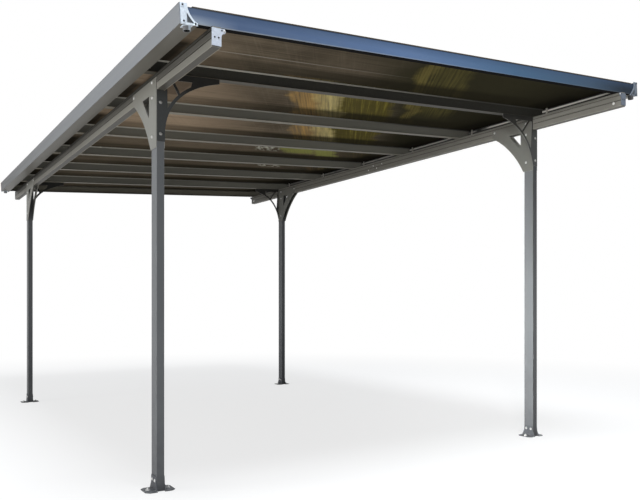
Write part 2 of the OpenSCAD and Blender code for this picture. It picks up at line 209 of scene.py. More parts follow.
def repeated(shape, places, frames):
    """A shape set down at many places: each point is its place plus the shape's point turned by its frame.
    Where a frame is a mirror image, its faces are wound the other way so that they still point outwards."""
    verts, faces = shape
    places = np.atleast_2d(places)
    frames = np.broadcast_to(frames, (len(places), 3, 3))
    mirrored = np.linalg.det(frames) < 0
    spread = places[:, None, :] + np.einsum("mk,nkj->nmj", verts, frames)
    shifts = (np.arange(len(places)) * len(verts))[:, None, None]
    wound = [np.where(mirrored[:, None, None], part[None, :, ::-1], part[None]) + shifts for part in faces]
    return spread.reshape(-1, 3), [part.reshape(-1, part.shape[2]) for part in wound]


def add_piece(name, shape, finish):
    """Puts a shape into a mesh of its own that rides on the frame."""
    verts, faces = shape
    mesh = bpy.data.meshes.new(name)
    mesh.from_pydata(verts.tolist(), [], [face for part in faces for face in part.tolist()])
    mesh.polygons.foreach_set("use_smooth", np.ones(len(mesh.polygons), bool))
    mesh.set_sharp_from_angle(angle=CREASE)
    mesh.materials.append(finish)
    piece = bpy.data.objects.new(name, mesh)
    bpy.context.scene.collection.objects.link(piece)
    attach(piece, "root")


# Finishes

class Finish:
    """The node graph of one finish, ending in a Principled shader."""

    def __init__(self, name):
        self.material = bpy.data.materials.new(name)
        self.material.use_nodes = True
        self.nodes = self.material.node_tree.nodes
        self.links = self.material.node_tree.links
        self.shader = self.nodes["Principled BSDF"]
        self.place = self.nodes.new("ShaderNodeTexCoord").outputs["Object"]
        self.x, self.y, self.z = self.axes(self.place)

    def set(self, **values):
        """Sets constants on the shader's own sockets."""
        for key, value in values.items():
            self.shader.inputs[key.replace("_", " ")].default_value = value

    def join(self, source, target):
        self.links.new(source, target)

    def paint(self, base):
        self.join(base, self.shader.inputs["Base Color"])

    def feed(self, socket, value):
        """Joins a socket to a socket, or sets it to a number or colour."""
        if isinstance(value, bpy.types.NodeSocket):
            self.links.new(value, socket)
        else:
            socket.default_value = value

    def math(self, operation, first, second=0.0):
        node = self.nodes.new("ShaderNodeMath")
        node.operation = operation
        self.feed(node.inputs[0], first)
        self.feed(node.inputs[1], second)
        return node.outputs[0]

    def plus(self, first, second):
        return self.math("ADD", first, second)

    def minus(self, first, second):
        return self.math("SUBTRACT", first, second)

    def size(self, value):
        return self.math("ABSOLUTE", value)

    def times(self, *values):
        result = values[0]
        for value in values[1:]:
            result = self.math("MULTIPLY", result, value)
        return result

    def axes(self, source):
        node = self.nodes.new("ShaderNodeSeparateXYZ")
        self.join(source, node.inputs[0])
        return node.outputs

    def point(self, x, y, z=0.0):
        node = self.nodes.new("ShaderNodeCombineXYZ")
        for socket, value in zip(node.inputs, (x, y, z)):
            self.feed(socket, value)
        return node.outputs[0]

    def stretched(self, x, y, z):
        """Object coordinates stretched along the axes."""
        return self.point(self.times(self.x, x), self.times(self.y, y), self.times(self.z, z))

    def noise(self, scale, detail=3.0, rough=0.5, vector=None):
        node = self.nodes.new("ShaderNodeTexNoise")
        node.inputs["Scale"].default_value = scale
        node.inputs["Detail"].default_value = detail
        node.inputs["Roughness"].default_value = rough
        self.join(vector or self.place, node.inputs["Vector"])
        return node.outputs["Fac"]

    def ramp(self, value, low, high, low_out=0.0, high_out=1.0):
        """Goes from low_out to high_out while the value goes from low to high, and holds them outside."""
        node = self.nodes.new("ShaderNodeMapRange")
        node.clamp = True
        self.feed(node.inputs["Value"], value)
        node.inputs["From Min"].default_value = low
        node.inputs["From Max"].default_value = high
        node.inputs["To Min"].default_value = low_out
        node.inputs["To Max"].default_value = high_out
        return node.outputs["Result"]

    def band(self, value, low, high, soft):
        """1 between two limits, fading to 0 outside them."""
        return self.times(self.ramp(value, low - soft, low), self.ramp(value, high, high + soft, 1.0, 0.0))

    def blend(self, share, first, second):
        """Mixes two colours, each a socket or three numbers; sockets 6 and 7 of the node take them."""
        node = self.nodes.new("ShaderNodeMix")
        node.data_type = "RGBA"
        self.feed(node.inputs[0], share)
        for number, colour in ((6, first), (7, second)):
            plain = not isinstance(colour, bpy.types.NodeSocket)
            self.feed(node.inputs[number], (*colour, 1.0) if plain else colour)
        return node.outputs[2]

    def facing(self, axis):
        """How far a face looks along one axis, from -1 to 1."""
        return self.axes(self.nodes.new("ShaderNodeNewGeometry").outputs["Normal"])[axis]

    def looks_down(self, most=1.0):
        """1, or a lesser share, on faces that look down."""
        return self.ramp(self.facing(2), -0.6, -0.3, most, 0.0)

    def roof_axis(self, direction):
        """Distance from the roof's origin along one of its directions."""
        node = self.nodes.new("ShaderNodeVectorMath")
        node.operation = "DOT_PRODUCT"
        self.join(self.place, node.inputs[0])
        node.inputs[1].default_value = tuple(direction)
        return self.minus(node.outputs["Value"], float(direction @ ROOF_ORIGIN))

    def roof_inset(self):
        """Distance inwards from the outer face of the nearer gutter."""
        return self.minus(ROOF_HALF_X, self.size(self.roof_axis(ALONG)))

    def bump(self, height, distance, strength):
        node = self.nodes.new("ShaderNodeBump")
        node.inputs["Strength"].default_value = strength
        node.inputs["Distance"].default_value = distance
        self.join(height, node.inputs["Height"])
        self.join(node.outputs["Normal"], self.shader.inputs["Normal"])


def tone(colour, gain):
    """A colour with its brightness changed."""
    return tuple(min(1.0, channel * gain) for channel in colour)


BLACK = (0.0, 0.0, 0.0)
SCUFF = (0.36, 0.355, 0.34)
SCUFF_SHARE = 0.14
SCUFF_ROUGHER = 0.16
SPECKLE_SHARE = 0.06
DRIFT_DARKER = 0.88
DRIFT_PALER = 1.10
DRIFT_BLACK = 0.14
EVEN_GRAIN = (1.0, 1.0, 1.0)
POST_GRAIN = (1.0, 1.0, 0.25)
BEAM_GRAIN = (1.0, 0.2, 1.0)
RAFTER_GRAIN = (0.2, 1.0, 1.0)
FASCIA_GRAIN = (0.25, 1.0, 1.0)


def coat(f, colour, grain, rough, level):
    """Powder-coated metal: slow drifts of shade, fine speckle, faint scuffs, orange-peel bump.
    Returns the colour, so that a piece can add its own marks."""
    stretched = f.stretched(*grain)
    drift = f.ramp(f.noise(1.7, detail=4.0, rough=0.55, vector=stretched), 0.3, 0.7)
    speckle = f.noise(420.0, detail=2.0, rough=0.6)
    scuff = f.ramp(f.noise(23.0, detail=6.0, rough=0.72, vector=stretched), 0.60, 0.78)
    f.join(f.ramp(scuff, 0.0, 1.0, rough, rough + SCUFF_ROUGHER), f.shader.inputs["Roughness"])
    f.bump(f.noise(650.0, detail=2.0, rough=0.5), distance=0.12 * MM, strength=0.35)
    f.set(Metallic=0.0, Specular_IOR_Level=level)
    if isinstance(colour, bpy.types.NodeSocket):
        base = f.blend(drift, f.blend(DRIFT_BLACK, colour, BLACK), colour)
    else:
        base = f.blend(drift, tone(colour, DRIFT_DARKER), tone(colour, DRIFT_PALER))
    base = f.blend(f.ramp(speckle, 0.35, 0.75, 0.0, SPECKLE_SHARE), base, SCUFF)
    return f.blend(f.times(scuff, SCUFF_SHARE), base, SCUFF)


POST_GREY = (0.142, 0.151, 0.161)
POST_CORNER_HIGHLIGHT = (0.30, 0.31, 0.32)
POST_LOW_DARK = (0.084, 0.085, 0.090)
POST_SHADE = (0.012, 0.012, 0.013)
CORNER_FADE = 1.6 * MM
CORNER_HIGHLIGHT_FULL = 0.5 * MM
LOW_DARK_BOTTOM = 0.05
LOW_DARK_TOP = 0.75


def post_coat():
    """Post finish: a painted highlight along the corners, darker towards the foot in noisy patches, and
    painted shade on the narrow faces of the posts of the high side."""
    f = Finish("post_paint")
    base = coat(f, POST_GREY, POST_GRAIN, rough=0.42, level=0.10)
    # Painted highlight along the post corners, broken up by noise
    corners = [
        f.ramp(f.size(f.minus(f.size(axis), place)), half - CORNER_FADE, half - CORNER_HIGHLIGHT_FULL)
        for axis, place, half in ((f.x, POST_X, POST_HALF_X), (f.y, POST_Y, POST_HALF_Y))
    ]
    highlight_breakup = f.noise(14.0, detail=4.0, rough=0.6, vector=f.stretched(1.0, 1.0, 0.3))
    highlight_breakup = f.ramp(highlight_breakup, 0.3, 0.6, 0.25, 0.75)
    base = f.blend(f.times(*corners, highlight_breakup), base, POST_CORNER_HIGHLIGHT)
    # Darker towards the foot, in noisy patches
    low_patches = f.ramp(f.noise(9.0, detail=5.0, rough=0.65), 0.25, 0.65, 0.3, 1.0)
    low_dark = f.times(f.ramp(f.z, LOW_DARK_BOTTOM, LOW_DARK_TOP, 0.75, 0.0), low_patches)
    base = f.blend(low_dark, base, POST_LOW_DARK)
    # Painted shade on the narrow faces of the posts of the high side
    narrow_face = f.ramp(f.size(f.facing(1)), 0.5, 0.8)
    high_side = f.times(narrow_face, f.ramp(f.x, 0.0, 0.2), f.ramp(f.y, -0.5, 0.5, 0.78, 0.3))
    f.paint(f.blend(high_side, base, POST_SHADE))
    return f.material


FOOT_GREY = (0.080, 0.085, 0.096)
FOOT_BEND = (0.24, 0.25, 0.26)
FOOT_MUD = (0.05, 0.046, 0.042)


def foot_coat():
    """Foot bracket finish: dull coat, bare bends, mud in the corners."""
    f = Finish("foot_paint")
    base = coat(f, FOOT_GREY, EVEN_GRAIN, rough=0.5, level=0.12)
    bare = f.ramp(f.noise(40.0, detail=4.0, rough=0.6), 0.4, 0.6, 0.2, 0.8)
    base = f.blend(f.times(f.band(f.z, 2.5 * MM, 6.0 * MM, 1.5 * MM), bare), base, FOOT_BEND)
    splashed = f.ramp(f.noise(30.0, detail=5.0, rough=0.7), 0.45, 0.65)
    mud = f.times(f.ramp(f.z, 4 * MM, 40 * MM, 0.55, 0.0), splashed)
    f.paint(f.blend(mud, base, FOOT_MUD))
    return f.material


GUSSET_SHADE = (0.030, 0.028, 0.024)
GUSSET_SHADE_SHARE = 0.34


def sheet_coat(name, grey, edge, beside_beam_tone_and_shade, flat_axis, level):
    """Gusset finish: a painted highlight on the cut edges of the sheet, which face away from its flat sides;
    the part beside the beam has its own tone, darker on the cross gussets as painted shade; painted shade on
    the high side."""
    f = Finish(name)
    base = coat(f, grey, EVEN_GRAIN, rough=0.44, level=level)
    height = f.minus(f.z, f.times(f.plus(f.x, POST_X), BEAM_RISE / (2 * POST_X)))
    beside = f.ramp(height, BEAM_LOW["left"] - 0.06, BEAM_LOW["left"] + 0.02, 0.0, 0.8)
    base = f.blend(beside, base, beside_beam_tone_and_shade)
    # Painted shade on the high side
    base = f.blend(f.ramp(f.x, -0.2, 0.2, 0.0, GUSSET_SHADE_SHARE), base, GUSSET_SHADE)
    # Painted highlight on the cut edges
    cut_edge_highlight = f.ramp(f.size(f.facing(flat_axis)), 0.2, 0.6, 0.8, 0.0)
    f.paint(f.blend(cut_edge_highlight, base, edge))
    return f.material


BEAM_GREY = (0.216, 0.210, 0.188)
BEAM_HIGH_SIDE_SHADE = (0.030, 0.027, 0.022)
BEAM_GUTTER_SHADOW = (0.020, 0.019, 0.017)
BEAM_SHADOW = (0.016, 0.015, 0.013)
BEAM_ARRIS_HIGHLIGHT = (0.33, 0.31, 0.27)
BEAM_UNDERSIDE_SHADE = (0.034, 0.032, 0.028)
BEAM_INNER_HIGHLIGHT = (0.40, 0.36, 0.29)
BEAM_JOINT = (0.012, 0.012, 0.012)
BEAM_FACE = (POST_HALF_X - 3.0 * MM, POST_HALF_X - 2.6 * MM)


def beam_coat():
    """Beam finish: painted shadow in the grooves and a painted highlight on the lower arris, a dark line at
    the joint of its two lengths, an underside in painted shade with a painted highlight on its inner arris,
    painted shadow of the gutter on the upper part of the outer faces, and painted shade on the high side."""
    f = Finish("beam_paint")
    base = coat(f, BEAM_GREY, BEAM_GRAIN, rough=0.46, level=0.10)
    # Painted shade on the high side
    base = f.blend(f.ramp(f.x, -0.2, 0.2, 0.0, 0.12), base, BEAM_HIGH_SIDE_SHADE)
    right = f.math("GREATER_THAN", f.x, 0.0)
    height = f.minus(f.minus(f.z, BEAM_LOW["left"]), f.times(right, BEAM_RISE))
    outwards = f.minus(f.size(f.x), POST_X)
    side_face = f.ramp(f.size(outwards), *BEAM_FACE)
    outer_face = f.ramp(outwards, *BEAM_FACE)
    # Painted shadow of the gutter on the upper part of the outer faces, broken into patches
    shadow_patches = f.noise(7.0, detail=4.0, rough=0.6, vector=f.stretched(1.0, 0.3, 2.0))
    shadow_patches = f.ramp(shadow_patches, 0.3, 0.7, 0.75, 1.0)
    gutter_shadow = f.times(f.ramp(height, 36 * MM, 44 * MM, 0.0, 0.62), outer_face, shadow_patches)
    base = f.blend(gutter_shadow, base, BEAM_GUTTER_SHADOW)
    # More painted shadow at the top of the outer faces
    top = f.times(f.ramp(height, GROOVES[1], GROOVES[1] + 14 * MM, 0.0, 0.7), outer_face)
    base = f.blend(top, base, BEAM_SHADOW)
    for groove in GROOVES:
        line = f.band(height, groove - 0.6 * MM, groove + GROOVE_HEIGHT + 0.4 * MM, 1.2 * MM)
        base = f.blend(f.times(line, side_face, 0.62), base, BEAM_SHADOW)
    # Painted highlight along the lower arris
    base = f.blend(f.ramp(height, 2.0 * MM, 4.5 * MM, 0.5, 0.0), base, BEAM_ARRIS_HIGHLIGHT)
    # Painted shade on the underside, with a painted highlight along its inner arris
    underside = f.looks_down(0.75)
    base = f.blend(underside, base, BEAM_UNDERSIDE_SHADE)
    inner_arris = f.ramp(outwards, 2.5 * MM - POST_HALF_X, 4.0 * MM - POST_HALF_X, 0.8, 0.0)
    base = f.blend(f.times(underside, inner_arris), base, BEAM_INNER_HIGHLIGHT)
    joint = f.ramp(f.size(f.y), 0.6 * MM, 1.4 * MM, 0.9, 0.0)
    f.paint(f.blend(joint, base, BEAM_JOINT))
    return f.material


RAFTER_TOP = (0.095, 0.095, 0.090)
OPEN_SIDE_X = -1.15


def rafter_coat(name, grey, lip_highlight_colour, crown_highlight_colour):
    """Rafter finish: a painted highlight on the lip along the underside, brightest towards the open left
    side, a painted highlight on a crown line under the panels, and a dull cap over them."""
    f = Finish(name)
    base = coat(f, grey, RAFTER_GRAIN, rough=0.5, level=0.08)
    w = f.roof_axis(UPRIGHT)
    highlight_breakup = f.ramp(f.noise(5.0, detail=4.0, rough=0.6, vector=f.stretched(1.0, 4.0, 4.0)), 0.3, 0.7, 0.75, 1.0)
    # Painted highlight on the lip, brightest towards the open left side
    lip_highlight = f.times(f.ramp(w, 3.2 * MM, 3.8 * MM, 1.0, 0.0), highlight_breakup, f.ramp(f.x, OPEN_SIDE_X, 0.9, 1.0, 0.30))
    base = f.blend(lip_highlight, base, lip_highlight_colour)
    # Painted highlight on the crown line under the panels
    crown_highlight = f.band(w, PANEL_LOW - 7.0 * MM, PANEL_LOW + 1.0 * MM, 1.0 * MM)
    crown_highlight = f.times(crown_highlight, highlight_breakup, f.ramp(f.x, OPEN_SIDE_X, 0.7, 1.0, 0.0))
    base = f.blend(crown_highlight, base, crown_highlight_colour)
    top_cap = f.ramp(w, PANEL_LOW + 5.0 * MM, PANEL_LOW + 7.0 * MM, 0.0, 0.85)
    f.paint(f.blend(top_cap, base, RAFTER_TOP))
    return f.material


FASCIA_SKY_LOW_END = (0.081, 0.129, 0.240)
# Further blues of the painted sky reflection up the slope, ending in navy painted shade: the places between
# which each takes over, and its colour
FASCIA_SKY_BLUES = [
    (-1.2, -0.4, (0.100, 0.170, 0.322)),
    (-0.3, 0.4, (0.050, 0.110, 0.200)),
    (0.4, 1.0, (0.043, 0.081, 0.136)),
    (1.02, 1.34, (0.008, 0.018, 0.034)),
]
FASCIA_SKY_CLOUD = (0.150, 0.215, 0.320)
FASCIA_SKY_UPPER = (0.040, 0.072, 0.140)
FASCIA_ARRIS = (0.012, 0.020, 0.034)
FASCIA_PALE_END_HIGHLIGHT = (0.40, 0.46, 0.53)
FASCIA_LOWER_HIGHLIGHT = (0.34, 0.36, 0.37)
FASCIA_INSIDE = (0.260, 0.245, 0.205)
FASCIA_UNDERSIDE_SHADE = (0.018, 0.018, 0.019)


def fascia_coat():
    """Fascia finish: the blue of the outer face is a painted reflection of sky, with a painted highlight at
    the low end, navy painted shade at the high end, darker towards its upper arris and with a painted
    highlight on the lower one; the inner side is warm grey, with painted shade where it looks down."""
    f = Finish("fascia_paint")
    # The blue is a painted reflection of sky, with navy painted shade at the high end
    sky_reflection = FASCIA_SKY_LOW_END
    for start, end, colour in FASCIA_SKY_BLUES:
        sky_reflection = f.blend(f.ramp(f.x, start, end), sky_reflection, colour)
    cloud = f.noise(3.0, detail=4.0, rough=0.6, vector=f.stretched(0.5, 1.0, 6.0))
    cloudy = f.times(f.ramp(cloud, 0.4, 0.72, 0.0, 0.3), f.ramp(f.x, -0.2, 0.4, 1.0, 0.0))
    sky_reflection = f.blend(cloudy, sky_reflection, FASCIA_SKY_CLOUD)
    base = coat(f, sky_reflection, FASCIA_GRAIN, rough=0.34, level=0.0)
    w = f.roof_axis(UPRIGHT)
    base = f.blend(f.ramp(w, 26 * MM, 60 * MM, 0.0, 0.5), base, FASCIA_SKY_UPPER)
    base = f.blend(f.ramp(w, 58.5 * MM, 61.5 * MM, 0.0, 0.85), base, FASCIA_ARRIS)
    # Painted highlight at the low end
    left_end = f.ramp(f.x, -1.43, -1.22, 1.0, 0.0)
    base = f.blend(f.times(left_end, f.ramp(w, 8 * MM, 40 * MM, 0.8, 0.1)), base, FASCIA_PALE_END_HIGHLIGHT)
    # Painted highlight along the lower arris
    lower_highlight = f.times(f.ramp(w, 2.0 * MM, 5.5 * MM, 0.6, 0.0), f.ramp(f.x, -1.1, 0.4, 1.0, 0.15))
    base = f.blend(lower_highlight, base, FASCIA_LOWER_HIGHLIGHT)
    outer = f.ramp(f.size(f.y), ROOF_HALF_Y - 1.6 * MM, ROOF_HALF_Y - 1.0 * MM)
    # Painted shade where the inner side looks down
    inner = f.blend(f.looks_down(), FASCIA_INSIDE, FASCIA_UNDERSIDE_SHADE)
    f.paint(f.blend(outer, inner, base))
    f.join(f.times(outer, 0.25), f.shader.inputs["Coat Weight"])
    f.set(Coat_Roughness=0.3)
    return f.material


GUTTER_FRONT = (0.272, 0.292, 0.322)
GUTTER_BACK_SHADE = (0.062, 0.067, 0.069)
GUTTER_STREAK = (0.300, 0.315, 0.335)
GUTTER_INSIDE = (0.045, 0.045, 0.044)
GUTTER_UNDERSIDE = (0.175, 0.166, 0.145)
GUTTER_ARRIS = (0.05, 0.052, 0.055)
GUTTER_LIGHT_LINE = (0.86, 0.83, 0.77)


def gutter_coat():
    """Gutter finish: grey outer face with painted shade towards the back and a dark upper arris; warm grey
    underside; dark inside; on the inner wall over the beam, a bright painted line of light."""
    f = Finish("gutter_paint")
    # Painted shade towards the back of the outer face
    face = f.blend(f.ramp(f.y, -2.4, 2.4), GUTTER_FRONT, GUTTER_BACK_SHADE)
    streak = f.noise(4.0, detail=4.0, rough=0.6, vector=f.stretched(1.0, 0.35, 8.0))
    face = f.blend(f.ramp(streak, 0.4, 0.75, 0.0, 0.3), face, GUTTER_STREAK)
    w = f.roof_axis(UPRIGHT)
    inset = f.roof_inset()
    under = f.ramp(w, 1.6 * MM - GUTTER_BELOW, 2.2 * MM - GUTTER_BELOW, 1.0, 0.0)
    inner = f.ramp(inset, 1.2 * MM, 1.8 * MM)
    body = f.blend(under, GUTTER_INSIDE, GUTTER_UNDERSIDE)
    base = coat(f, f.blend(inner, face, body), BEAM_GRAIN, rough=0.40, level=0.12)
    arris = f.ramp(w, GUTTER_TOP - 3.5 * MM, GUTTER_TOP - 1.5 * MM, 0.0, 0.7)
    base = f.blend(arris, base, GUTTER_ARRIS)
    # Painted line of light on the inner wall over the beam, fading towards the back
    inner_wall = f.ramp(inset, GUTTER_WIDTH - 0.8 * MM, GUTTER_WIDTH - 0.3 * MM)
    light_line = f.times(inner_wall, f.band(w, 38 * MM, 47 * MM, 1.5 * MM), f.ramp(f.y, -1.4, 0.9, 0.95, 0.25))
    patchy = f.ramp(f.noise(2.2, detail=3.0, rough=0.6, vector=f.stretched(1.0, 1.0, 0.2)), 0.36, 0.46)
    f.paint(f.blend(f.times(light_line, patchy), base, GUTTER_LIGHT_LINE))
    return f.material


CRYSTAL_SCALE = 140.0
HIGH_SIDE_ZINC_SHADE = (0.060, 0.080, 0.112)
PLATE_BLUE = (0.60, 0.66, 0.76)
CAP_BLUE = (0.76, 0.85, 0.95)
CAP_RECESS_SHADE = (0.030, 0.038, 0.048)
CAP_RIM = (0.10, 0.11, 0.13)
SPOUT_SIDE_SHADE = (0.085, 0.080, 0.078)
SPOUT_BORE_SHADE = (0.008, 0.008, 0.008)


def plate_zinc(f, colour, rough, metal):
    """Zinc-plated steel: a patchwork of crystals, dull spots and a fine rolled grain. Returns the colour."""
    cells = f.nodes.new("ShaderNodeTexVoronoi")
    cells.inputs["Scale"].default_value = CRYSTAL_SCALE
    f.join(f.place, cells.inputs["Vector"])
    shade = f.axes(cells.outputs["Color"])[0]
    dull = f.ramp(f.noise(60.0, detail=5.0, rough=0.7), 0.55, 0.8)
    f.join(f.ramp(dull, 0.0, 1.0, rough, rough + 0.2), f.shader.inputs["Roughness"])
    f.bump(f.noise(900.0, detail=2.0, rough=0.5), distance=0.05 * MM, strength=0.3)
    f.set(Metallic=metal, Specular_IOR_Level=0.35)
    base = f.blend(f.ramp(shade, 0.0, 1.0), tone(colour, 0.92), tone(colour, 1.06))
    return f.blend(f.times(dull, 0.35), base, tone(colour, 0.66))


def zinc_high_side_shade(f, base):
    """Painted shade on zinc: darker and bluer towards the high side of the roof."""
    # Painted shade towards the high side
    return f.blend(f.ramp(f.x, 0.9, 1.3, 0.0, 0.9), base, HIGH_SIDE_ZINC_SHADE)


def zinc(name, colour, rough, metal):
    """Plain zinc-plated steel."""
    f = Finish(name)
    f.paint(plate_zinc(f, colour, rough, metal))
    return f.material


def end_plate_zinc():
    """End plate finish: zinc with painted shade towards the high side."""
    f = Finish("plate_zinc")
    f.paint(zinc_high_side_shade(f, plate_zinc(f, PLATE_BLUE, rough=0.40, metal=0.25)))
    return f.material


def cap_zinc():
    """End cap finish: zinc with painted shade towards the high side, painted shade in the recess between the
    upright strip and the swept arm, a dark rim beside the gutter's face, and a spout with painted shade on
    its faces that look left and black painted shade in its bore. The arm's edge lies where cap_edge has it."""
    f = Finish("cap_zinc")
    base = zinc_high_side_shade(f, plate_zinc(f, CAP_BLUE, rough=0.36, metal=0.25))
    w = f.roof_axis(UPRIGHT)
    inset = f.roof_inset()
    share = f.ramp(w, -GUTTER_BELOW, GUTTER_TOP, 1.0, 0.0)
    edge = f.plus(f.times(f.math("POWER", share, CAP_SWEEP), GUTTER_WIDTH - CAP_TOP), CAP_TOP)
    beside_arm = f.ramp(f.minus(edge, inset), 10.0 * MM, 11.5 * MM)
    beside_strip = f.ramp(inset, 29.5 * MM, 31.0 * MM)
    # Painted shade in the recess between the upright strip and the swept arm
    recess_shade = f.times(beside_arm, beside_strip, f.band(w, 4 * MM, 52 * MM, 4 * MM))
    base = f.blend(f.times(recess_shade, 0.92), base, CAP_RECESS_SHADE)
    rim = f.ramp(inset, 2.4 * MM, 3.4 * MM, 0.85, 0.0)
    base = f.blend(rim, base, CAP_RIM)
    across = f.minus(inset, SPOUT_IN)
    along = f.minus(f.size(f.y), SPOUT_Y)
    reach = f.math("SQRT", f.plus(f.times(across, across), f.times(along, along)))
    below = f.ramp(w, -3.2 * MM - GUTTER_BELOW, -2.6 * MM - GUTTER_BELOW, 1.0, 0.0)
    # Painted shade on the faces of the spout that look left
    shaded_side = f.ramp(f.facing(0), -0.1, 0.35, 0.9, 0.0)
    base = f.blend(f.times(below, shaded_side), base, SPOUT_SIDE_SHADE)
    # Black painted shade in the spout's bore
    bore_shade = f.times(below, f.ramp(reach, SPOUT_BORE + 0.3 * MM, SPOUT_BORE + 0.8 * MM, 1.0, 0.0))
    f.paint(f.blend(bore_shade, base, SPOUT_BORE_SHADE))
    return f.material


FLUTE_PITCH = 12 * MM
STREAK_TURN = math.radians(33.0)
BAY = float(RAFTER_Y[1] - RAFTER_Y[0])
BAYS_AHEAD = 10
PALE_LINE_Y = -2.06
RAFTER_FADE = 0.06
STRIPE_DRIFT = 0.035
FRONT_SHIFT = -0.045

# Stripes of painted light and reflection in the sheets: the distances across the stripes between which each
# lies
ORANGE_STRIPE = (0.45, 0.60)
PALE_GOLD_STRIPE = (0.595, 0.70)
OLIVE_STRIPE = (0.73, 1.02)
GREEN_STRIPE = (0.32, 0.53)
SECOND_GREEN_STRIPE = (0.58, 0.70)
THIN_GOLD_STRIPE = (1.17, 1.22)
LATE_OLIVE_STRIPE = (1.22, 1.42)
SPOT_STRIPE = (0.10, 0.25)
SPOT_LEAN = 0.087

# Colours of the sheets: smoke bronze, with painted light, reflections, glints and shade
SMOKE_DARK = (0.126, 0.103, 0.076)
SMOKE_PALE = (0.215, 0.177, 0.130)
LOW_SIDE_PAINTED_LIGHT = (0.530, 0.404, 0.290)
PALE_THREAD = (0.320, 0.255, 0.187)
DARK_THREAD = (0.055, 0.046, 0.035)
BACK_SHADE = (0.080, 0.073, 0.055)
FRONT_SHADE = (0.060, 0.052, 0.038)
HIGH_SIDE_SHADE = (0.046, 0.043, 0.026)
HIGH_EDGE_SHADE = (0.024, 0.022, 0.016)
ORANGE = (0.60, 0.38, 0.14)
OLIVE = (0.125, 0.108, 0.028)
OLIVE_STREAK = (0.36, 0.30, 0.065)
PALE_GOLD = (0.80, 0.68, 0.30)
GREEN = (0.37, 0.38, 0.12)
THIN_GOLD = (0.36, 0.29, 0.09)
LATE_OLIVE = (0.19, 0.165, 0.055)
PALE_SPOT = (0.66, 0.66, 0.56)
FAR_EDGE_SHADE = (0.030, 0.027, 0.018)
PALE_LINE = (0.400, 0.370, 0.330)
GUTTER_SHADE = (0.020, 0.018, 0.014)
OVER_GUSSET_SHADE = (0.105, 0.080, 0.062)
TOP_DARK = (0.055, 0.042, 0.028)
TOP_PALE = (0.085, 0.064, 0.042)
RIB_DARK = (0.012, 0.010, 0.008)


